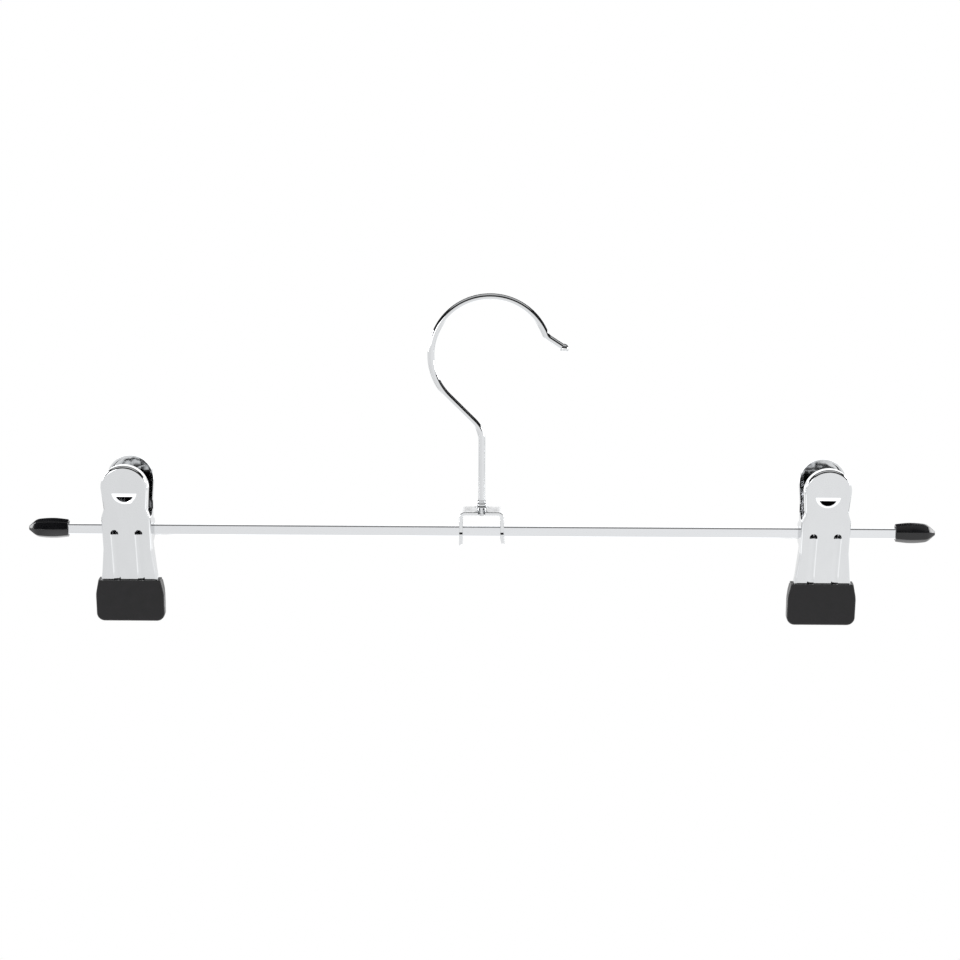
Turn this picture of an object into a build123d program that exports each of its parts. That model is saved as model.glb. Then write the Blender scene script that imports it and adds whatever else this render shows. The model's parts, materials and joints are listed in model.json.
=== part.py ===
from build123d import *
import os
from math import acos, atan2, cos, hypot, pi, radians, sin, sqrt, tan

# Skirt hanger: a swivel hook, a square bar and two sprung clips that slide on it.
# Millimetres. X runs along the bar, -Y faces the viewer, +Z is up.
# The origin is where the rail carries the hook, straight above the swivel.

# Running and seating clearances
seat_gap = 0.05
slide_gap = 0.08
ear_gap = 0.3
jaw_gap = 0.3
overrun = 2.0

# Bar and its end caps
hanger_length = 400.0
bar_width = 4.6
bar_edge = 0.6
cap_length = 17.5
cap_grip = 12.0
cap_mouth = 7.3
cap_bulge = 8.4
cap_waist = 7.8
cap_shoulder = 6.5
cap_nose = 1.9
cap_bulge_share = 0.35
cap_waist_share = 0.7
cap_shoulder_share = 0.83
cap_sides = 8
left_cap_turn = 5.0
right_cap_turn = 17.5

# Hook: a stem, a lean to the left, a big arc, a reverse bend and a ball tip
hook_wire = 3.2
hook_bend = 25.7
hook_offset = 3.4
hook_rise = 78.6
hook_lean = 45.0
hook_arc_end = 22.0
stem_bend = 12.0
tip_bend = 4.5
tip_slope = 33.0
tip_length = 7.7
ball_diameter = 4.1

# Swivel foot of the hook
neck_diameter = 3.2
collar_height = 2.7
collar_diameter = 3.7
collar_waist = 3.1
bead_diameter = 4.1
collar_foot = 3.8
bead_round = 0.2
collar_shares = (0, 0.1, 0.3, 0.48, 0.66, 0.9, 1)
bush_diameter = 4.0
bush_height = 1.2
brim_diameter = 6.2
brim_thickness = 0.5
brim_round_share = 0.4
rivet_diameter = 4.5
rivet_height = 1.5
rivet_rim_share = 0.4

# Bracket: strip bent to a U over the bar
bracket_width = 19.7
bracket_rise = 9.6
strip_depth = 10.4
strip_thickness = 1.6
bracket_corner = 2.6
strip_edge = 0.35
left_leg_drop = 5.9
right_leg_drop = 4.8
leg_slant = 1.0
leg_splay = 0.5
slot_pinch = 0.1
stake_width = 1.4
stake_height = 1.0
stake_depth = 1.4

# Clips: how far their middles stand from the mouths of the end caps
left_clip_stand = 26.7
right_clip_stand = 31.7

# Clip plates: outline seen from the front, heights from the bar's axis
sheet = 0.8
sheet_bend = 1.3
tab_radius = 10.3
tab_centre = 20.9
waist_half = 9.5
waist_height = 11.0
waist_round = 2.5
shoulder_half = 10.8
shoulder_height = 7.2
shoulder_round = 3.0
flare_height = 8.0
flare_round = 14.0
throat_half = 12.2
throat_height = 20.5
jaw_half = 14.0
jaw_height = 29.0
jaw_drop = 40.5
jaw_round = 2.5
rear_inset = 0.8

# Clip plates: face seen from the side, distances out from the bar's axis
face_tab = 12.6
face_bar = 8.4
face_bar_height = 2.0
face_throat = 4.7
face_toe = 3.5
face_round = 26.0
flange_depth = 4.6
flange_toe = 0.9
ear_radius = 5.0
rear_ear_radius = 4.8
web_height = 7.0
notch_height = 4.0
notch_share = 0.4

# Pressed details of the plates
window_width = 11.2
window_height = 5.0
window_top = 18.6
window_dish = 0.35
window_hole_width = 7.4
window_hole_height = 2.5
window_hole_drop = 1.6
tongue_width = 6.0
tongue_length = 1.6
groove_place = 5.3
groove_width = 3.4
groove_depth = 0.55
groove_foot_depth = 0.45
eye_width = 3.2
eye_height = 2.3
eye_foot = -0.8

# Torsion spring: coil round the bar, legs hooked over the tongues of the plates
spring_wire = 1.6
spring_radius = 4.4
spring_turns = 5
spring_pitch = 2.7
spring_clear = 0.15
coil_steps = 22
leg_end_height = 20.5
leg_hook = 2.2
leg_reach = 4.4
gap_points = 4

# Boots on the jaws
boot_wall = 1.1
boot_top = 22.4
rear_boot_top = 25.0
boot_edge = 0.9
rim_share = 0.8

os.makedirs("parts", exist_ok=True)


# Places that follow from the sizes
lean = radians(hook_lean)
arc_foot_x = hook_offset - hook_bend * cos(lean)
arc_foot_z = hook_rise - hook_bend * sin(lean)
stem_cross_z = arc_foot_z + arc_foot_x / tan(lean)
stem_cut = stem_bend * tan(lean / 2)
lean_length = -arc_foot_x / sin(lean) - stem_cut
bar_z = -hook_rise - sqrt((hook_bend - hook_wire / 2) ** 2 - hook_offset**2)
half_length = hanger_length / 2
cap_line = half_length - cap_length
bar_half = cap_line + cap_grip - seat_gap
underside = bracket_rise - strip_thickness
brim_foot = bracket_rise + bush_height
collar_base = brim_foot + brim_thickness + seat_gap
collar_top = collar_base + collar_height
rivet_top = underside - seat_gap
rivet_bottom = rivet_top - rivet_height
tab_top = tab_centre + tab_radius
tab_lean = (face_tab - face_bar) / (tab_top - face_bar_height)
rear_half = shoulder_half - sheet - ear_gap
reach = face_tab + overrun
face_heights = (-jaw_drop - overrun, -throat_height, face_bar_height, tab_top + overrun)
groove_radius = (groove_width**2 / 4 + groove_depth**2) / (2 * groove_depth)
rear_bore = bar_width / sqrt(2) - bar_edge * (sqrt(2) - 1) + slide_gap

bar_front = Plane(origin=(0, 0, bar_z), x_dir=(1, 0, 0), z_dir=(0, -1, 0))
bar_section = Plane(origin=(0, 0, bar_z), x_dir=(0, 1, 0), z_dir=(1, 0, 0))
bar_level = Plane(origin=(0, 0, bar_z), x_dir=(1, 0, 0), z_dir=(0, 0, 1))


def save(piece, name):
    """Label a finished piece and write it under its own name."""
    piece.label = name
    export_step(piece, f"parts/{name}.step")


# Cross bar
with BuildPart() as cross_bar:
    with BuildSketch(bar_section):
        RectangleRounded(bar_width, bar_width, bar_edge)
    extrude(amount=bar_half, both=True)
save(cross_bar.part, "cross_bar")


def end_cap(side, turn):
    """Eight-sided barrel with a blunt nose, open towards the bar; an edge faces the viewer at turn."""
    stations = [
        (cap_line, cap_mouth),
        (cap_line + cap_length * cap_bulge_share, cap_bulge),
        (cap_line + cap_length * cap_waist_share, cap_waist),
        (cap_line + cap_length * cap_shoulder_share, cap_shoulder),
        (half_length, cap_nose),
    ]
    with BuildPart() as cap:
        for place, across in stations:
            with BuildSketch(bar_section.offset(side * place)):
                RegularPolygon(across / 2, cap_sides, major_radius=False, rotation=-turn)
        loft(ruled=True)
        with BuildSketch(bar_section.offset(side * (cap_line - overrun))):
            hole = bar_width + 2 * seat_gap
            RectangleRounded(hole, hole, bar_edge + seat_gap)
        extrude(amount=side * (cap_grip + overrun), mode=Mode.SUBTRACT)
    return cap.part


save(end_cap(-1, left_cap_turn), "left_end_cap")
save(end_cap(1, right_cap_turn), "right_end_cap")

# Hook: the bent wire with its ball, then its foot turned about the swivel's axis
with BuildPart() as hook:
    with BuildLine(bar_front) as hook_line:
        stem = Line((0, collar_top), (0, stem_cross_z - stem_cut))
        lower = JernArc(stem @ 1, stem % 1, stem_bend, hook_lean)
        slant = PolarLine(lower @ 1, lean_length, 90 + hook_lean)
        arc = JernArc(slant @ 1, slant % 1, hook_bend, hook_arc_end - 180 - hook_lean)
        kink = JernArc(arc @ 1, arc % 1, tip_bend, 90 - hook_arc_end - tip_slope)
        tip = PolarLine(kink @ 1, tip_length, -tip_slope)
    with BuildSketch(bar_level.offset(collar_top)):
        Circle(hook_wire / 2)
    sweep(path=hook_line.line)
    with Locations(tip @ 1):
        Sphere(ball_diameter / 2)
    with BuildSketch(bar_front):
        with BuildLine():
            Polyline((0, rivet_bottom), (0, collar_top), (hook_wire / 2, collar_top))
            widths = (hook_wire, collar_diameter, collar_diameter, collar_waist)
            widths += (bead_diameter, bead_diameter, collar_foot)
            beads = [(w / 2, collar_top - s * collar_height) for w, s in zip(widths, collar_shares)]
            FilletPolyline(*beads, radius=bead_round)
            rim = rivet_top - rivet_height * rivet_rim_share
            Polyline(
                (collar_foot / 2, collar_base),
                (neck_diameter / 2, collar_base),
                (neck_diameter / 2, rivet_top),
                (rivet_diameter / 2, rivet_top),
                (rivet_diameter / 2, rim),
            )
            TangentArc((0, rivet_bottom), (rivet_diameter / 2, rim), tangent=(1, 0))
        make_face()
    revolve(axis=Axis.Z)
save(hook.part, "hook")

# Brimmed bush between the collar and the bracket
with BuildPart() as swivel_bush:
    with BuildSketch(bar_level.offset(bracket_rise)):
        Circle(bush_diameter / 2)
    extrude(amount=bush_height)
    with BuildSketch(bar_level.offset(brim_foot)):
        Circle(brim_diameter / 2)
    extrude(amount=brim_thickness)
    rims = swivel_bush.edges().filter_by(GeomType.CIRCLE).group_by(SortBy.RADIUS)[-1]
    fillet(rims, brim_thickness * brim_round_share)
    with BuildSketch(bar_level.offset(bracket_rise)):
        Circle(neck_diameter / 2 + slide_gap)
    extrude(amount=bush_height + brim_thickness, mode=Mode.SUBTRACT)
save(swivel_bush.part, "swivel_bush")

# Bracket: the strip's outline from the front, carried through its depth
with BuildPart() as hook_bracket:
    outer = bracket_width / 2
    inner = outer - strip_thickness
    inner_corner = bracket_corner - strip_thickness
    with BuildSketch(bar_front):
        with BuildLine():
            FilletPolyline(
                (-outer, -left_leg_drop),
                (-outer, bracket_rise),
                (outer, bracket_rise),
                (outer, -bar_width / 2),
                (outer + leg_splay, -right_leg_drop),
                (inner + leg_splay, -right_leg_drop),
                (inner, -bar_width / 2),
                (inner, underside),
                (-inner, underside),
                (-inner, leg_slant - left_leg_drop),
                radius=[0, bracket_corner, bracket_corner, 0, 0, 0, 0, inner_corner, inner_corner, 0],
                close=True,
            )
        make_face()
    extrude(amount=strip_depth / 2, both=True)
    fillet(hook_bracket.faces().filter_by(Axis.Y).edges(), strip_edge)
    with BuildSketch(bar_section):
        hole = bar_width + 2 * seat_gap
        RectangleRounded(hole, hole, bar_edge + seat_gap)
    extrude(amount=bracket_width, both=True, mode=Mode.SUBTRACT)
    with BuildSketch(bar_level.offset(underside - overrun)):
        Circle(neck_diameter / 2 + slide_gap)
        with Locations((0, -strip_depth / 2)):
            Rectangle(neck_diameter - slot_pinch, strip_depth)
    extrude(amount=strip_thickness + 2 * overrun, mode=Mode.SUBTRACT)
    with BuildSketch(bar_front.offset(strip_depth / 2)):
        for leg in (-1, 1):
            with Locations((leg * (outer - strip_thickness / 2), 0)):
                SlotOverall(stake_width, stake_height)
    extrude(amount=-stake_depth, mode=Mode.SUBTRACT)
save(hook_bracket.part, "hook_bracket")


def face_out(height):
    """How far out from the bar's axis a plate's face lies at a height."""
    if height >= face_bar_height:
        low, near, high, far = face_bar_height, face_bar, tab_top, face_tab
    elif height >= -throat_height:
        low, near, high, far = -throat_height, face_throat, face_bar_height, face_bar
    else:
        low, near, high, far = -jaw_drop, face_toe, -throat_height, face_throat
    return near + (far - near) * (height - low) / (high - low)


# Lean of a spring's legs, so that their ends meet the insides of the tabs
leg_out = face_out(leg_end_height) - (sheet + spring_wire / 2 + spring_clear) * sqrt(1 + tab_lean**2)
leg_tilt = acos(spring_radius / hypot(leg_out, leg_end_height)) - atan2(leg_end_height, leg_out)
leg_length = (leg_end_height + spring_radius * sin(leg_tilt)) / cos(leg_tilt)
coil_angle = 2 * pi * spring_turns + pi - 2 * leg_tilt
coil_half = spring_pitch * coil_angle / (2 * pi) / coil_steps * (coil_steps - 1) / 2


def clip_front(place, outward):
    """Plane through a clip's middle that faces outward: -1 towards the viewer, 1 away."""
    return Plane(origin=(place, 0, bar_z), x_dir=(-outward, 0, 0), z_dir=(0, outward, 0))


def clip_side(place, outward):
    """Plane across a clip: its x runs outward from the bar, its y up."""
    return Plane(origin=(place, 0, bar_z), x_dir=(0, outward, 0), z_dir=(outward, 0, 0))


def tab_plane(place, outward, height):
    """Plane on the face of a thumb tab at a height, leaning as the face does."""
    spot = clip_side(place, outward).from_local_coords((face_out(height), height, 0))
    return Plane(origin=spot, x_dir=(-outward, 0, 0), z_dir=(0, outward, -tab_lean))


def plate_outline(outward):
    """Right half of a plate's outline: its start on the tab's arc, its corners, their rounds."""
    corners = [
        (waist_half, waist_height, waist_round),
        (shoulder_half, shoulder_height, shoulder_round),
        (shoulder_half, -flare_height, flare_round),
    ]
    inset = rear_inset if outward > 0 else 0
    if outward > 0:
        corners = [(rear_half, waist_height, waist_round), (rear_half, -flare_height, flare_round)]
    side = corners[0][0]
    crest = hypot(side, tab_centre - waist_height)
    turn = acos(tab_radius / crest) - atan2(tab_centre - waist_height, side)
    corners += [
        (throat_half - inset, -throat_height, flare_round),
        (jaw_half - inset, -jaw_height, flare_round),
        (jaw_half - inset, -jaw_drop, jaw_round),
    ]
    start = (tab_radius * cos(turn), tab_centre + tab_radius * sin(turn))
    return start, [(x, y) for x, y, _ in corners], [turned for _, _, turned in corners]


def plate_block(place, outward, grown, back, bend):
    """Solid from a plate's face to the distance back, grown all round, its rim rounded by bend."""
    start, half, rounds = plate_outline(outward)
    left = [(-x, y) for x, y in reversed(half)]
    with BuildPart() as block:
        with BuildSketch(clip_front(place, outward).offset(-reach)):
            with BuildLine():
                FilletPolyline(start, *half, *left, (-start[0], start[1]), radius=rounds + rounds[::-1])
                ThreePointArc(start, (0, tab_top), (-start[0], start[1]))
            make_face()
            if grown:
                offset(amount=grown, kind=Kind.INTERSECTION)
        extrude(amount=2 * reach)
        with BuildSketch(clip_side(place, outward)):
            with BuildLine():
                face = FilletPolyline(*[(face_out(h) + grown, h) for h in face_heights], radius=face_round)
                Polyline(face @ 1, (back, face_heights[-1]), (back, face_heights[0]), face @ 0)
            make_face()
        extrude(amount=reach + jaw_half, both=True, mode=Mode.INTERSECT)
        fronts = [f for f in block.faces() if f.normal_at().Y * outward > rim_share]
        edges = [edge for front in fronts for edge in front.edges()]
        marks = [tuple(round(value, 3) for value in edge.center()) for edge in edges]
        fillet([edge for edge, mark in zip(edges, marks) if marks.count(mark) == 1], bend)
    return block.part


def groove_tube(place, outward, side, radius):
    """Round bar along the line of a groove, from the eye down past the jaw's end, where it fades."""
    run = groove_radius - groove_depth
    fade = groove_depth - groove_foot_depth
    with BuildPart() as tube:
        with BuildLine(clip_side(place + side * groove_place, outward)) as line:
            FilletPolyline(
                (face_out(eye_foot) + run, eye_foot),
                *[(face_out(h) + run + fade, h) for h in (-throat_height, -jaw_drop - overrun)],
                radius=face_round,
            )
        with BuildSketch(Plane(origin=line.line @ 0, z_dir=line.line % 0)):
            Circle(radius)
        sweep(path=line.line)
    return tube.part


def window_press(place, outward, levels):
    """Solid between round-bottomed outlines, each of a width, a height, a drop and a depth."""
    with BuildPart() as press:
        for width, height, drop, depth in levels:
            with BuildSketch(tab_plane(place, outward, window_top).offset(-depth)):
                with BuildLine():
                    Line((-width / 2, -drop), (width / 2, -drop))
                    ThreePointArc((width / 2, -drop), (0, -drop - height), (-width / 2, -drop))
                make_face()
        loft(ruled=True)
    return press.part


def clip_plate(place, outward):
    """Pressed plate of a clip: flanged shell with ears, a dished window, two eyes and two grooves."""
    ear = ear_radius if outward < 0 else rear_ear_radius
    hole = (window_hole_width, window_hole_height, window_hole_drop)
    rim = (window_width + sheet, window_height + sheet, -sheet / 2, sheet / 2)
    boss = (window_hole_width + sheet, window_hole_height + sheet, window_hole_drop - sheet / 2)
    with BuildPart() as hollow:
        add(plate_block(place, outward, -sheet, -reach, sheet_bend - sheet))
        for side in (-1, 1):
            add(groove_tube(place, outward, side, groove_radius + sheet), mode=Mode.SUBTRACT)
        add(window_press(place, outward, [rim, (*boss, window_dish + sheet / 2)]), mode=Mode.SUBTRACT)
    with BuildPart() as plate:
        add(plate_block(place, outward, 0, -reach, sheet_bend))
        with BuildSketch(clip_side(place, outward)):
            with BuildLine():
                low, high = face_heights[0], face_heights[-1]
                Polyline(
                    (reach, low),
                    (flange_toe, low),
                    (flange_toe, -throat_height),
                    (face_bar - flange_depth, face_bar_height),
                    (face_out(high) - flange_depth, high),
                    (reach, high),
                    close=True,
                )
            make_face()
            Circle(ear)
            with BuildLine():
                foot = face_out(-web_height) - sheet_bend
                Polyline((foot, web_height), (0, ear), (0, -ear), (foot, -web_height), close=True)
            make_face()
        extrude(amount=reach + jaw_half, both=True, mode=Mode.INTERSECT)
        with BuildSketch(clip_side(place, outward)):
            with Locations((0, waist_height - notch_height * notch_share)):
                Rectangle(2 * (face_bar - sheet_bend), notch_height)
        extrude(amount=reach + jaw_half, both=True, mode=Mode.SUBTRACT)
        add(hollow.part, mode=Mode.SUBTRACT)
        dish = [(window_width, window_height, 0, 0), (*hole, window_dish)]
        add(window_press(place, outward, dish), mode=Mode.SUBTRACT)
        add(window_press(place, outward, [(*hole, 0), (*hole, window_dish + sheet)]), mode=Mode.SUBTRACT)
        with BuildSketch(tab_plane(place, outward, window_top).offset(-window_dish)):
            with Locations((0, -window_hole_drop)):
                Rectangle(tongue_width, sheet / 2, align=(Align.CENTER, Align.MIN))
        extrude(amount=-tongue_length)
        for side in (-1, 1):
            add(groove_tube(place, outward, side, groove_radius), mode=Mode.SUBTRACT)
        with BuildSketch(clip_front(place, outward)):
            for middle in (-groove_place, groove_place):
                near, far = middle - eye_width / 2, middle + eye_width / 2
                with BuildLine():
                    Line((near, eye_foot), (far, eye_foot))
                    ThreePointArc((far, eye_foot), (middle, eye_foot + eye_height), (near, eye_foot))
                make_face()
        extrude(amount=reach, mode=Mode.SUBTRACT)
        with BuildSketch(clip_side(place, outward)):
            if outward < 0:
                across = bar_width + 2 * slide_gap
                RectangleRounded(across, across, bar_edge + slide_gap)
            else:
                Circle(rear_bore)
        extrude(amount=reach + jaw_half, both=True, mode=Mode.SUBTRACT)
    return plate.part


def jaw_boot(place, outward):
    """Boot over a plate's jaw, open at the top, with a pocket that fits the plate."""
    top = boot_top if outward < 0 else rear_boot_top
    with BuildPart() as boot:
        add(plate_block(place, outward, boot_wall, jaw_gap / 2, boot_edge))
        with BuildSketch(clip_side(place, outward)):
            with Locations((0, -top)):
                Rectangle(2 * reach, 2 * tab_top + top, align=(Align.CENTER, Align.MIN))
        extrude(amount=reach + jaw_half, both=True, mode=Mode.SUBTRACT)
        add(
            plate_block(place, outward, seat_gap, flange_toe - seat_gap, sheet_bend + seat_gap),
            mode=Mode.SUBTRACT,
        )
    return boot.part


def spring_arcs(start, finish, leave, arrive):
    """Two arcs that join two points and run along the given directions at them."""
    chord, sum_way = finish - start, leave + arrive
    along, both = chord.dot(sum_way), 2 * (1 - leave.dot(arrive))
    reach_out = (sqrt(along**2 + both * chord.dot(chord)) - along) / both
    first, last = start + leave * reach_out, finish - arrive * reach_out
    middle = (first + last) * 0.5
    return [TangentArc(start, middle, tangent=leave), TangentArc(middle, finish, tangent=last - first)]


def coil_place(step):
    """Point and direction of the coil's line after a number of steps from its front end."""
    turned = -leg_tilt - coil_angle * step / coil_steps
    along = min(max(step - 0.5, 0), coil_steps - 1)
    climb = 0 if step in (0, coil_steps) else coil_half * 2 / (coil_steps - 1)
    arc_length = spring_radius * coil_angle / coil_steps
    spot = Vector(
        coil_half * (2 * along / (coil_steps - 1) - 1),
        -spring_radius * cos(turned),
        spring_radius * sin(turned),
    )
    way = Vector(climb, -arc_length * sin(turned), -arc_length * cos(turned)).normalized()
    return spot, way


def clip_spring(place):
    """Torsion spring round the bar: a leg up each plate, its end bent towards the clip's middle."""
    home = Vector(place, 0, bar_z)
    marks = [coil_place(step) for step in range(coil_steps + 1)]
    with BuildPart() as spring:
        with BuildLine() as line:
            ends = []
            for side, (foot, way) in ((-1, marks[0]), (1, marks[-1])):
                up = way * side
                corner = home + foot + up * leg_length
                inward = Vector(-side, 0, 0)
                bend_foot, bend_head = corner - up * leg_hook, corner + inward * leg_hook
                Line(home + foot, bend_foot)
                TangentArc(bend_foot, bend_head, tangent=up)
                ends.append(bend_head + inward * leg_reach)
                Line(bend_head, ends[-1])
            for (start, leave), (finish, arrive) in zip(marks, marks[1:]):
                spring_arcs(home + start, home + finish, leave, arrive)
        with BuildSketch(Plane(origin=ends[0], z_dir=(1, 0, 0))):
            Circle(spring_wire / 2)
        sweep(path=line.wires()[0])
    return spring.part, line.wires()[0]


def least_gap(wire):
    """Least clear space between turns of a swept wire, measured on points along its line."""
    count = round(wire.length / (spring_wire / gap_points))
    points = [wire @ (i / count) for i in range(count + 1)]
    apart = round(3 * gap_points)
    near = [
        (points[i] - points[j]).length
        for i in range(0, count + 1)
        for j in range(i + apart, count + 1)
        if abs(points[i].X - points[j].X) < 3 * spring_wire
    ]
    return min(near) - spring_wire


places = {"left": left_clip_stand - cap_line, "right": cap_line - right_clip_stand}
for side_name, clip_place in places.items():
    save(clip_plate(clip_place, -1), f"{side_name}_front_plate")
    save(clip_plate(clip_place, 1), f"{side_name}_rear_plate")
    save(jaw_boot(clip_place, -1), f"{side_name}_front_boot")
    save(jaw_boot(clip_place, 1), f"{side_name}_rear_boot")
    coil, coil_line = clip_spring(clip_place)
    save(coil, f"{side_name}_spring")
    print(side_name, "spring gap", round(least_gap(coil_line), 3), "line", round(coil_line.length, 1))
    print("volume", round(coil.volume, 1), "of", round(coil_line.length * pi * spring_wire**2 / 4, 1))
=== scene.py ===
import bmesh
import bpy
import json
from math import acos, atan2, cos, hypot, pi, radians, sin
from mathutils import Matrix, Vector


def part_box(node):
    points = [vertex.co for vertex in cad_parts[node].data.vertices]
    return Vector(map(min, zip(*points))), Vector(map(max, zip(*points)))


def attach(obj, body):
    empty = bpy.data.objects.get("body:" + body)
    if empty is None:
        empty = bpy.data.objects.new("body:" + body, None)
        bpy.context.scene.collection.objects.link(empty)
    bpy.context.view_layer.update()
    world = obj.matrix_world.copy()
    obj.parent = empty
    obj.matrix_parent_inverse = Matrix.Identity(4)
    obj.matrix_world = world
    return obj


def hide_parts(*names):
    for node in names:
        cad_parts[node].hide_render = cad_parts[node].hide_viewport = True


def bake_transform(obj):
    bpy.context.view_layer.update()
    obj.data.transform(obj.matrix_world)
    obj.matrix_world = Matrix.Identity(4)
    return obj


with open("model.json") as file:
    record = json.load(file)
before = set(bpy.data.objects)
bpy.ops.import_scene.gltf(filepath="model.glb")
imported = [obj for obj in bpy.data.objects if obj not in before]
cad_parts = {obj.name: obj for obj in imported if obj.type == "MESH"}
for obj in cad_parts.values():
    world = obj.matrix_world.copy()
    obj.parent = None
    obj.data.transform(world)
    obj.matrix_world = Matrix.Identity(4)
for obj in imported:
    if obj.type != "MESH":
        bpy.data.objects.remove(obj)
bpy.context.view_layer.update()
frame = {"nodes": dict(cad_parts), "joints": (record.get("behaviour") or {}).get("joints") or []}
nodes = frame["nodes"]
joints = {joint["name"]: joint for joint in frame["joints"]}
sides = ("left", "right")
left_clip_x, right_clip_x = (joints[f"{side}_jaw_hinge"]["pos_m"][0] for side in sides)
bar_z = joints["left_jaw_hinge"]["pos_m"][2]
MM = 0.001


# Shader nodes of a material or of the world, which each function calls made
def node(made, kind, **settings):
    new = made.node_tree.nodes.new(kind)
    for key, value in settings.items():
        setattr(new, key, value)
    return new


def wire(made, start, end):
    made.node_tree.links.new(start, end)


def maths(made, operation, *values):
    """Result of a math node whose inputs are numbers or other nodes' outputs."""
    joined = node(made, "ShaderNodeMath", operation=operation)
    for socket, value in zip(joined.inputs, values):
        if isinstance(value, (int, float)):
            socket.default_value = value
        else:
            wire(made, value, socket)
    return joined.outputs["Value"]


def product(made, result, *others):
    for other in others:
        result = maths(made, "MULTIPLY", result, other)
    return result


def near(made, value, middle, half):
    """1 where a value lies within half of the middle, else 0."""
    return maths(made, "COMPARE", value, middle, half)


def apart(made, value, middle):
    """Distance of a value from a middle."""
    return maths(made, "ABSOLUTE", maths(made, "SUBTRACT", value, middle))


def spread(made, source, low, high, start=0.3, stop=0.7):
    """Map a source's range from start to stop, a noise's usual one unless given, to a range of values."""
    ranged = node(made, "ShaderNodeMapRange")
    ranged.inputs["From Min"].default_value = start
    ranged.inputs["From Max"].default_value = stop
    ranged.inputs["To Min"].default_value = low
    ranged.inputs["To Max"].default_value = high
    wire(made, source, ranged.inputs["Value"])
    return ranged.outputs["Result"]


def split_axes(made, source):
    split = node(made, "ShaderNodeSeparateXYZ")
    wire(made, source, split.inputs["Vector"])
    return split.outputs


def place_of(made):
    """The shaded point's X, Y and Z in the row frame, as the piece stands at rest."""
    return split_axes(made, node(made, "ShaderNodeTexCoord").outputs["Object"])


def facing(made, axis, start, stop):
    """0 to 1 as a surface's direction along an axis goes from start to stop."""
    direction = split_axes(made, node(made, "ShaderNodeNewGeometry").outputs["Normal"])
    return spread(made, direction[axis], 0, 1, start, stop)


def noise(made, scale, detail, stretch=(1, 1, 1)):
    """Noise in the row frame, in features per metre, stretched along the axes."""
    place = node(made, "ShaderNodeTexCoord")
    mapping = node(made, "ShaderNodeMapping")
    mapping.inputs["Scale"].default_value = stretch
    texture = node(made, "ShaderNodeTexNoise")
    texture.inputs["Scale"].default_value = scale
    texture.inputs["Detail"].default_value = detail
    wire(made, place.outputs["Object"], mapping.inputs["Vector"])
    wire(made, mapping.outputs["Vector"], texture.inputs["Vector"])
    return texture.outputs["Fac"]


def shaded(colour, share):
    return tuple(channel * share for channel in colour)


def grey(value):
    return shaded((1, 1, 1), value)


def tint(made, source, dark, light):
    """Mix two near colours by a texture."""
    mix = node(made, "ShaderNodeMix", data_type="RGBA")
    mix.inputs["A"].default_value = (*dark, 1)
    mix.inputs["B"].default_value = (*light, 1)
    wire(made, spread(made, source, 0, 1), mix.inputs["Factor"])
    return mix.outputs["Result"]


def toned(made, source, mask, tone):
    """A colour that changes to another tone where a mask says so."""
    mix = node(made, "ShaderNodeMix", data_type="RGBA")
    wire(made, mask, mix.inputs["Factor"])
    wire(made, source, mix.inputs["A"])
    mix.inputs["B"].default_value = (*tone, 1)
    return mix.outputs["Result"]


def mixed(made, factor, first, second):
    mix = node(made, "ShaderNodeMixShader")
    wire(made, factor, mix.inputs["Fac"])
    wire(made, first, mix.inputs[1])
    wire(made, second, mix.inputs[2])
    return mix.outputs["Shader"]


def bump(made, shader, source, distance, strength=1.0):
    bumped = node(made, "ShaderNodeBump")
    bumped.inputs["Strength"].default_value = strength
    bumped.inputs["Distance"].default_value = distance
    wire(made, source, bumped.inputs["Height"])
    wire(made, bumped.outputs["Normal"], shader.inputs["Normal"])


def material(name, colour, roughness, metallic=0.0, **sockets):
    """New node material and its shader, with plain values on the shader's own sockets."""
    made = bpy.data.materials.new(name)
    made.use_nodes = True
    shader = made.node_tree.nodes["Principled BSDF"]
    shader.inputs["Base Color"].default_value = (*colour, 1)
    shader.inputs["Metallic"].default_value = metallic
    shader.inputs["Roughness"].default_value = roughness
    for socket, value in sockets.items():
        shader.inputs[socket.replace("_", " ")].default_value = value
    return made, shader


# Chrome
cloud_detail = 4
cloud_shade = 0.97
ripple_share = 0.35
ripple_detail = 2
ripple_depth = 0.02
swirl_scale = 200
swirl_detail = 0.8


def chrome(name, colour, polish, scale, stretch=(1, 1, 1), painted_tones=(), swirl=None):
    """Plated metal with a faintly cloudy polish and a slight ripple.

    Each painted tone is a mask and the colour's share there: below 1 painted shade, above 1 a painted
    highlight.
    A swirl is a mask and the depth, in millimetres, of the finer waves that lie there.
    """
    made, shader = material(name, colour, roughness=polish[0], metallic=1.0)
    cloud = noise(made, scale, cloud_detail, stretch)
    wire(made, spread(made, cloud, *polish), shader.inputs["Roughness"])
    plating_and_painted_light = tint(made, cloud, shaded(colour, cloud_shade), colour)
    for mask, share in painted_tones:
        plating_and_painted_light = toned(made, plating_and_painted_light, mask(made), shaded(colour, share))
    wire(made, plating_and_painted_light, shader.inputs["Base Color"])
    broad = noise(made, scale * ripple_share, ripple_detail, stretch)
    ripple = maths(made, "MULTIPLY", broad, ripple_depth)
    if swirl:
        mask, depth = swirl
        waves = maths(made, "MULTIPLY", noise(made, swirl_scale, swirl_detail), depth)
        ripple = maths(made, "ADD", ripple, product(made, mask(made), waves))
    bump(made, shader, ripple, MM)
    return made


# Where painted shade and painted highlights change the chrome's tone: masks that are 1 there and 0
# elsewhere.
# A pair of slopes is the surface's direction along an axis where a mask starts and where it is full.
upper_slopes = (0.5, 0.9)
inner_slopes = (-0.15, -0.5)
outer_slopes = (0.1, 0.3)

stake_place = 9.05 * MM
stake_half_width = 0.72 * MM
stake_half_height = 0.52 * MM
stake_front = -5.17 * MM
stake_back = -3.75 * MM

face_bar = 8.4 * MM
face_bar_height = 2.0 * MM
tab_lean_out = 4.2 * MM
tab_lean_up = 29.2 * MM
tab_lean = tab_lean_out / tab_lean_up

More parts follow.
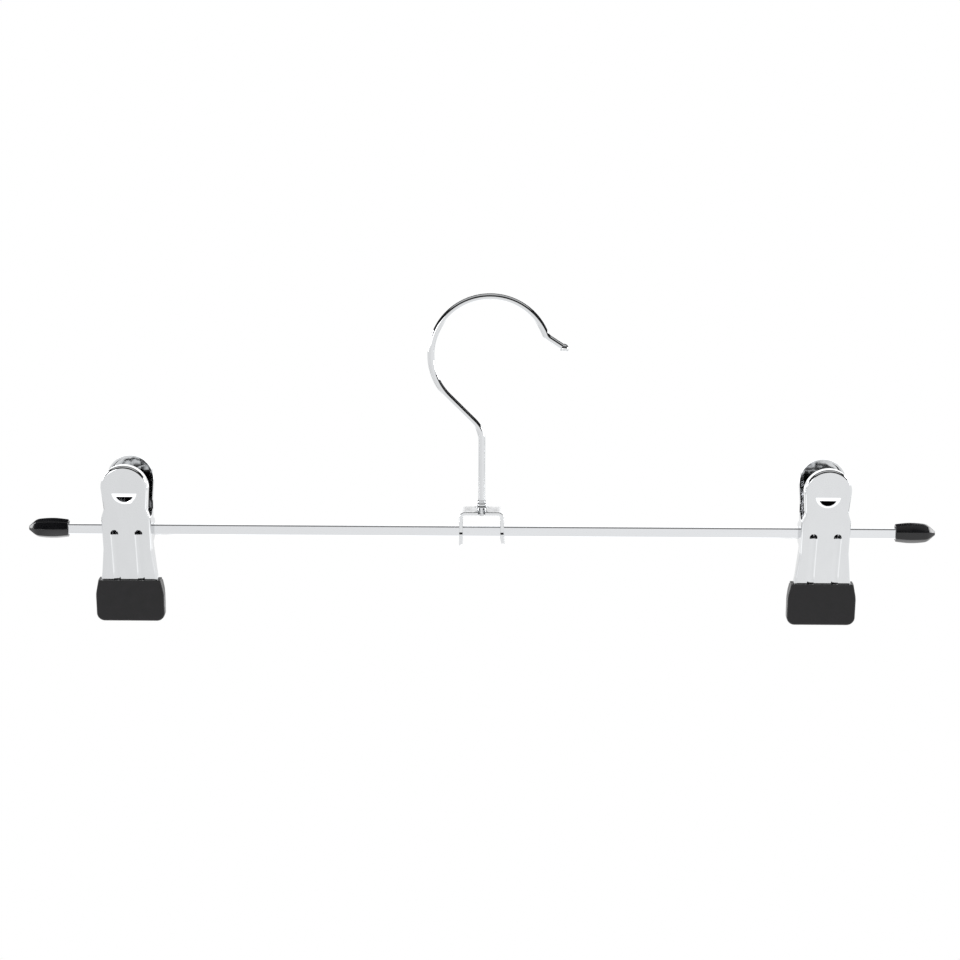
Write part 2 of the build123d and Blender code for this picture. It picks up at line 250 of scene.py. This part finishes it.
dish_height = 16.2 * MM
dish_half_width = 5.7 * MM
dish_half_height = 2.9 * MM
dish_skin = 0.03 * MM
dish_depth = 0.4 * MM

hollow_height = 10.0 * MM
hollow_half_height = 14.0 * MM
hollow_half_width = 8.0 * MM


def painted_top_shade(made):
    """Mask of the surfaces that face up, which the bracket's painted shade darkens."""
    return facing(made, "Z", *upper_slopes)


def inside_of(outward):
    """Mask of a pressing's inner surfaces, which face the bar. Painted shade darkens them slightly."""
    return lambda made: facing(made, "Y", *(slope * outward for slope in inner_slopes))


def painted_stake_shade(made):
    """Mask of the bracket's punched marks, where painted shade makes them nearly black."""
    place = place_of(made)
    across = near(made, apart(made, place["X"], 0), stake_place, stake_half_width)
    high = near(made, place["Z"], bar_z, stake_half_height)
    deep = near(made, place["Y"], (stake_front + stake_back) / 2, (stake_back - stake_front) / 2)
    return product(made, across, high, deep)


def at_clips(made, x, half_width):
    """1 within half a width of a clip's middle, else 0."""
    between = apart(made, x, (left_clip_x + right_clip_x) / 2)
    return near(made, between, (right_clip_x - left_clip_x) / 2, half_width)


def painted_dish_highlight_of(outward):
    """Mask of a plate's dished window rim, which lies just under the leaning face and gets a painted
    highlight.
    """
    def mask(made):
        place = place_of(made)
        across = at_clips(made, place["X"], dish_half_width)
        high = near(made, place["Z"], bar_z + dish_height, dish_half_height)
        foot = face_bar - (bar_z + face_bar_height) * tab_lean
        face = maths(made, "MULTIPLY_ADD", place["Z"], tab_lean, foot)
        sunk = maths(made, "SUBTRACT", face, maths(made, "MULTIPLY", place["Y"], outward))
        deep = near(made, sunk, (dish_skin + dish_depth) / 2, (dish_depth - dish_skin) / 2)
        outer = facing(made, "Y", *(slope * outward for slope in outer_slopes))
        return product(made, across, high, deep, outer)
    return mask


def painted_hollow_shade_of(outward):
    """Mask of a plate's inner surface from above its window to just below the bar, which painted shade
    darkens nearly to black.
    """
    def mask(made):
        place = place_of(made)
        across = at_clips(made, place["X"], hollow_half_width)
        high = near(made, place["Z"], bar_z + hollow_height, hollow_half_height)
        return product(made, across, high, inside_of(outward)(made))
    return mask


# Metals of the hook, the bar, the bracket, the clips' plates and the springs
bright = (0.62, 0.63, 0.64)
hook_chrome = chrome("hook_chrome", bright, polish=(0.03, 0.08), scale=260)
bar_chrome = chrome(
    "bar_chrome", (0.66, 0.67, 0.685), polish=(0.05, 0.11), scale=300, stretch=(0.06, 1, 1),
)
bracket_chrome = chrome(
    "bracket_chrome", (0.66, 0.67, 0.68), polish=(0.16, 0.26), scale=420,
    # painted shade darkens the bracket's tops
    # painted shade turns the punched marks nearly black
    painted_tones=[(painted_top_shade, 0.74), (painted_stake_shade, 0.05)],
)
front_chrome, rear_chrome = (
    chrome(
        f"{face}_chrome", bright, polish=(0.06, 0.12), scale=260, stretch=(1, 1, 0.4),
        # a painted highlight on the window rims
        # deeper painted shade in the hollow behind the window
        # painted shade on the inner surfaces
        painted_tones=[(inside_of(outward), 0.95), (painted_hollow_shade_of(outward), 0.15), (painted_dish_highlight_of(outward), 1.5)],
        swirl=(inside_of(outward), 0.3),
    )
    for face, outward in (("front", -1), ("rear", 1))
)
spring_steel = chrome("spring_steel", (0.45, 0.45, 0.47), polish=(0.12, 0.24), scale=900)

# Plastics of the boots and the caps
mottle_scale = 220
mottle_detail = 4
skin_detail = 5
skin_depth = 0.2 * MM


def moulded(name, dark, light, sheen, grain, strength, gloss):
    """Moulded plastic: slight mottling, a fine skin and an uneven sheen."""
    made, shader = material(name, light, roughness=sheen[0], Specular_IOR_Level=gloss)
    cloud = noise(made, mottle_scale, mottle_detail)
    wire(made, spread(made, cloud, *sheen), shader.inputs["Roughness"])
    wire(made, tint(made, cloud, dark, light), shader.inputs["Base Color"])
    bump(made, shader, noise(made, grain, skin_detail), skin_depth, strength)
    return made


boot_plastic = moulded(
    "boot_plastic", dark=(0.007, 0.007, 0.008), light=(0.012, 0.011, 0.013),
    sheen=(0.3, 0.42), grain=4200, strength=0.2, gloss=0.3,
)
cap_plastic = moulded(
    "cap_plastic", dark=(0.010, 0.010, 0.012), light=(0.014, 0.014, 0.016),
    sheen=(0.1, 0.2), grain=2600, strength=0.08, gloss=0.42,
)


# CAD nodes that stay, in their materials
def dress(name, made):
    obj = nodes[name]
    if not obj.material_slots:
        obj.data.materials.append(made)
    for slot in obj.material_slots:
        slot.material = made


for name in ("hook", "swivel_bush"):
    dress(name, hook_chrome)
dress("hook_bracket", bracket_chrome)
dress("cross_bar", bar_chrome)
for side in sides:
    for face, plated in (("front", front_chrome), ("rear", rear_chrome)):
        dress(f"{side}_{face}_plate", plated)
        dress(f"{side}_{face}_boot", boot_plastic)


# Pieces built here in the place of CAD nodes
def new_object(name, points, faces, made):
    """Smooth object from points and faces. The faces of a closed skin are turned outwards."""
    mesh = bpy.data.meshes.new(name)
    mesh.from_pydata(points, [], faces)
    if len(faces) > 1:
        shell = bmesh.new()
        shell.from_mesh(mesh)
        bmesh.ops.recalc_face_normals(shell, faces=shell.faces)
        shell.to_mesh(mesh)
        shell.free()
    mesh.materials.append(made)
    mesh.shade_smooth()
    mesh.update()
    obj = bpy.data.objects.new(name, mesh)
    bpy.context.scene.collection.objects.link(obj)
    return obj


def tube_faces(ring_count, around):
    """Quads between rings of points, in order, and a face over each end."""
    faces = []
    for start in range(0, (ring_count - 1) * around, around):
        for i in range(around):
            ahead = (i + 1) % around
            faces.append((start + i, start + ahead, start + around + ahead, start + around + i))
    last = (ring_count - 1) * around
    return faces + [tuple(range(around)), tuple(range(last, last + around))]


# Springs: a smooth round wire on the coil's own line
spring_wire = 1.6 * MM
spring_radius = 4.4 * MM
spring_turns = 5
spring_steps = 22
leg_hook = 2.2 * MM
leg_reach = 4.4 * MM
bend_steps = 8
coil_points = 160
wire_sides = 16
domed_end = ((0.0, 0.55), (0.12, 0.86), (0.3, 1.0))


def leg_line(coil_half, tilt, length):
    """Front leg of a spring, from the end of its inward hook to the head of its straight."""
    foot = Vector((-coil_half, -spring_radius * cos(tilt), -spring_radius * sin(tilt)))
    up = Vector((0, -sin(tilt), cos(tilt)))
    inward = Vector((1, 0, 0))
    corner = foot + up * length
    centre = corner - up * leg_hook + inward * leg_hook
    leg = [centre + inward * leg_reach + up * leg_hook]
    for step in range(bend_steps + 1):
        turned = pi / 2 * step / bend_steps
        leg.append(centre + (up * cos(turned) - inward * sin(turned)) * leg_hook)
    return leg


def coil_line(coil_half, tilt):
    """Coil of a spring about the X axis. Its pitch eases to nothing at both ends, where the legs start."""
    coil_angle = 2 * pi * spring_turns + pi - 2 * tilt
    coil = []
    for step in range(coil_points + 1):
        at = spring_steps * step / coil_points
        along = at - 0.5
        if at < 1:
            along = at**2 / 2
        elif at > spring_steps - 1:
            along = spring_steps - 1 - (spring_steps - at) ** 2 / 2
        turned = -tilt - coil_angle * at / spring_steps
        across = coil_half * (2 * along / (spring_steps - 1) - 1)
        coil.append(Vector((across, -spring_radius * cos(turned), spring_radius * sin(turned))))
    return coil


def spring_line(name):
    """Middle of a spring's coil, and points from its front leg's end to its rear leg's."""
    low, high = (Vector(corner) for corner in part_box(name))
    leg_height = high.z - bar_z - spring_wire / 2
    leg_out = high.y - spring_wire / 2
    coil_half = (high.x - low.x - spring_wire) / 2
    tilt = acos(spring_radius / hypot(leg_out, leg_height)) - atan2(leg_height, leg_out)
    leg_length = (leg_height + spring_radius * sin(tilt)) / cos(tilt)
    front = leg_line(coil_half, tilt, leg_length)
    rear = [Vector((-p.x, -p.y, p.z)) for p in reversed(front)]
    home = Vector(((low.x + high.x) / 2, 0, bar_z))
    return home, [home + point for point in front + coil_line(coil_half, tilt) + rear]


def wire_mesh(line, radius):
    """Tube along a line of points, its two ends slightly domed."""
    head = (line[1] - line[0]).normalized()
    tail = (line[-1] - line[-2]).normalized()
    centres = [(line[0] + head * radius * share, width) for share, width in domed_end]
    centres += [(point, 1.0) for point in line[1:-1]]
    centres += [(line[-1] - tail * radius * share, width) for share, width in reversed(domed_end)]
    out = head.orthogonal().normalized()
    points = []
    for i, (centre, width) in enumerate(centres):
        ahead = centres[min(i + 1, len(centres) - 1)][0] - centres[max(i - 1, 0)][0]
        way = ahead.normalized()
        out = (out - way * out.dot(way)).normalized()
        across = way.cross(out)
        for k in range(wire_sides):
            turned = 2 * pi * k / wire_sides
            points.append(centre + (out * cos(turned) + across * sin(turned)) * radius * width)
    return points, tube_faces(len(centres), wire_sides)


# Each spring: a wire built in the place of its CAD node, which is hidden
for side in sides:
    home, line = spring_line(f"{side}_spring")
    piece = new_object(f"{side}_spring_wire", *wire_mesh(line, spring_wire / 2), spring_steel)
    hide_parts(f"{side}_spring")
    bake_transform(piece)

# End caps: eight soft-edged sides on a smooth barrel, with a square socket
cap_length = 17.5 * MM
cap_profile = ((0, 7.3), (0.35, 8.4), (0.7, 7.8), (0.83, 6.5), (1, 1.9))
cap_turns = {"left": 5.0, "right": 17.5}
cap_sides = 8
cap_edge = 0.55 * MM
narrow_edge = 0.3
edge_points = 5
mouth_round = 0.35 * MM
mouth_steps = 4
barrel_steps = 48
barrel_start = 1.2 * mouth_round
nose_rise = 0.05 * MM
nose_flat = 0.55 * MM
socket = 2.35 * MM
socket_mouth = 0.2 * MM
socket_depth = 12.0 * MM
socket_bunching = 0.5


def barrel_half(share):
    """Half the width across flats at a share of the cap's length, eased between the profile's stations."""
    i = max(k for k in range(len(cap_profile) - 1) if share >= cap_profile[k][0])
    (s0, w0), (s1, w1) = cap_profile[i], cap_profile[i + 1]

    def slope(k):
        before, after = cap_profile[max(k - 1, 0)], cap_profile[min(k + 1, len(cap_profile) - 1)]
        return (after[1] - before[1]) / (after[0] - before[0])

    t, gap = (share - s0) / (s1 - s0), s1 - s0
    width = (
        w0 * (2 * t**3 - 3 * t**2 + 1)
        + slope(i) * gap * (t**3 - 2 * t**2 + t)
        + w1 * (3 * t**2 - 2 * t**3)
        + slope(i + 1) * gap * (t**3 - t**2)
    )
    return width / 2 * MM


def around_cap(turn, bunching=1.0):
    """Direction of each long edge of a cap, with the directions that its rounding turns through."""
    for k in range(cap_sides):
        heading = 2 * pi * k / cap_sides + radians(turn)
        for j in range(edge_points):
            yield heading, heading + pi / cap_sides * bunching * (2 * j / (edge_points - 1) - 1)


def cap_ring(apothem, turn):
    """One ring of a cap as (y, z) pairs: flats joined by rounded edges."""
    rounded = min(cap_edge, apothem * narrow_edge)
    inner = (apothem - rounded) / cos(pi / cap_sides)
    return [
        (-(inner * cos(heading) + rounded * cos(bend)), inner * sin(heading) + rounded * sin(bend))
        for heading, bend in around_cap(turn)
    ]


def socket_ring(turn):
    """The socket's square outline, with a point for each point of the cap's rings."""
    ring = []
    for _, at in around_cap(turn, socket_bunching):
        reach = socket / max(abs(cos(at)), abs(sin(at)))
        ring.append((-reach * cos(at), reach * sin(at)))
    return ring


def cap_mesh(side):
    """Cap from its socket's bottom out of the mouth and over the barrel to the nose."""
    way = -1 if side == "left" else 1
    low, high = (Vector(corner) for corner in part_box(f"{side}_end_cap"))
    mouth = high.x if way < 0 else low.x
    turn = cap_turns[side]
    rings = [(depth, socket_ring(turn)) for depth in (socket_depth, socket_mouth)]
    for step in range(mouth_steps + 1):
        bend = pi / 2 * step / mouth_steps
        apothem = barrel_half(0) - mouth_round * (1 - sin(bend))
        rings.append((mouth_round * (1 - cos(bend)), cap_ring(apothem, turn)))
    for step in range(1, barrel_steps + 1):
        share = step / barrel_steps
        rings.append((max(cap_length * share, barrel_start), cap_ring(barrel_half(share), turn)))
    rings.append((cap_length + nose_rise, cap_ring(nose_flat, turn)))
    points = [(mouth + way * x, y, bar_z + z) for x, ring in rings for y, z in ring]
    return points, tube_faces(len(rings), cap_sides * edge_points)


for side in sides:
    piece = new_object(f"{side}_cap_shell", *cap_mesh(side), cap_plastic)
    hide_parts(f"{side}_end_cap")
    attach(piece, "bar")

# Floor, as the camera sees it and as the chrome sees it
floor_half = 4.0
floor_z = -0.30
paper_grey = 0.85
fibre_greys = (0.83, 0.87)
fibre_scale = 60
fibre_detail = 3
patch_sides = (0.23, 0.3)
patch_front = (-0.24, -0.16)
patch_glow = 0.6
paper_glow = (1.11, 1.2)
paper_glow_reach = 0.3
shade_place = 0.73
shade_edge = (0.09, 0.13)
shade_depth = 0.75


def white_light(made, kind):
    light = node(made, kind)
    light.inputs["Color"].default_value = (*grey(1), 1)
    return light


def floor_paper():
    """Pale matte paper, plain white to the camera.

    In reflections it glows, most in a patch under and behind the hanger, which a darker band crosses.
    """
    made, shader = material("floor_paper", grey(paper_grey), roughness=0.9)
    fibre = tint(made, noise(made, fibre_scale, fibre_detail), *map(grey, fibre_greys))
    wire(made, fibre, shader.inputs["Base Color"])
    place = place_of(made)
    between = spread(made, apart(made, place["X"], 0), 1, 0, *patch_sides)
    behind = spread(made, place["Y"], 0, 1, *patch_front)
    paper = spread(made, place["X"], *paper_glow, -paper_glow_reach, paper_glow_reach)
    lit = maths(made, "MULTIPLY_ADD", product(made, between, behind), patch_glow, paper)
    shade = spread(made, apart(made, place["Y"], shade_place), shade_depth, 0, *shade_edge)
    glow = white_light(made, "ShaderNodeEmission")
    wire(made, maths(made, "SUBTRACT", lit, product(made, shade, between)), glow.inputs["Strength"])
    path = node(made, "ShaderNodeLightPath")
    glossy = mixed(made, path.outputs["Is Glossy Ray"], shader.outputs["BSDF"], glow.outputs[0])
    white = white_light(made, "ShaderNodeEmission")
    seen = mixed(made, path.outputs["Is Camera Ray"], glossy, white.outputs[0])
    wire(made, seen, made.node_tree.nodes["Material Output"].inputs["Surface"])
    return made


corners = [(-1, -1), (1, -1), (1, 1), (-1, 1)]
floor_points = [(x * floor_half, y * floor_half, floor_z) for x, y in corners]
floor = new_object("floor", floor_points, [(0, 1, 2, 3)], floor_paper())

# World: a studio tent with a bright wall all round, a dark gap above it and a grey ceiling
wall_light = 0.7
gap_light = 0.012
ceiling_light = (0.28, 0.32)
gap_low = sin(radians(17))
gap_high = sin(radians(60))
wall_fade = 0.05
ceiling_fade = 0.04
level_low = -1
level_high = 1.2
side_start = 0.25
side_stop = 0.75
side_drop = sin(radians(18)) - sin(radians(5))
front_strength = 1.6
back_strength = 2.4
front_place = -0.6


def ramp(made, source, stops):
    """Grey colour ramp through (position, value) stops."""
    new = node(made, "ShaderNodeValToRGB")
    elements = new.color_ramp.elements
    while len(elements) < len(stops):
        elements.new(0.5)
    for element, (position, value) in zip(elements, stops):
        element.position = position
        element.color = (*grey(value), 1)
    wire(made, source, new.inputs["Fac"])
    return new.outputs["Color"]


def world_light():
    """The tent's light, whose dark gap hangs lower at the sides. The camera sees plain white."""
    world = bpy.data.worlds.new("studio")
    bpy.context.scene.world = world
    world.use_nodes = True
    world.node_tree.nodes.clear()
    way = split_axes(world, node(world, "ShaderNodeTexCoord").outputs["Generated"])
    drop = spread(world, apart(world, way["X"], 0), 0, side_drop, side_start, side_stop)
    height = spread(world, maths(world, "ADD", way["Z"], drop), 0, 1, level_low, level_high)
    levels = [
        (level_low, wall_light), (gap_low, wall_light), (gap_low + wall_fade, gap_light),
        (gap_high, gap_light), (gap_high + ceiling_fade, ceiling_light[0]), (level_high, ceiling_light[1]),
    ]
    stops = [((level - level_low) / (level_high - level_low), value) for level, value in levels]
    light = node(world, "ShaderNodeBackground")
    wire(world, ramp(world, height, stops), light.inputs["Color"])
    strength = spread(world, way["Y"], front_strength, back_strength, front_place, 0)
    wire(world, strength, light.inputs["Strength"])
    white = white_light(world, "ShaderNodeBackground")
    path = node(world, "ShaderNodeLightPath")
    seen = mixed(world, path.outputs["Is Camera Ray"], light.outputs[0], white.outputs[0])
    wire(world, seen, node(world, "ShaderNodeOutputWorld").inputs["Surface"])


world_light()

# Lamps: one soft key from the left and in front, and a small box off each end cap
key_place = (-0.9, -1.2, 0.1)
key_size = 0.5
key_power = 2.0
box_place = (0.453, 0.095, 0.006)
box_size = 0.17
box_power = 0.9


def area_light(name, place, size, power):
    """Square lamp, turned to the bar's middle and hidden from the camera."""
    data = bpy.data.lights.new(name, "AREA")
    data.size = size
    data.energy = power
    obj = bpy.data.objects.new(name, data)
    obj.location = place
    obj.rotation_euler = (Vector((0, 0, bar_z)) - Vector(place)).to_track_quat("-Z", "Y").to_euler()
    obj.visible_camera = False
    bpy.context.scene.collection.objects.link(obj)


area_light("key", key_place, key_size, key_power)
for side, way in (("left", -1), ("right", 1)):
    area_light(f"{side}_box", (way * box_place[0], *box_place[1:]), box_size, box_power)

# Camera at the photograph's angle
lens_length = 82.5
sensor_width = 36
nearest_seen = 0.01
camera_place = (0.00445, -0.9371, bar_z + 0.2601)
camera_turns = (75.8, -0.252, 0.384)

camera = bpy.data.cameras.new("camera")
camera.lens = lens_length
camera.sensor_width = sensor_width
camera.clip_start = nearest_seen
camera_object = bpy.data.objects.new("camera", camera)
camera_object.location = camera_place
camera_object.rotation_euler = [radians(turn) for turn in camera_turns]
bpy.context.scene.collection.objects.link(camera_object)
bpy.context.scene.camera = camera_object
bpy.context.scene.view_settings.view_transform = "Standard"
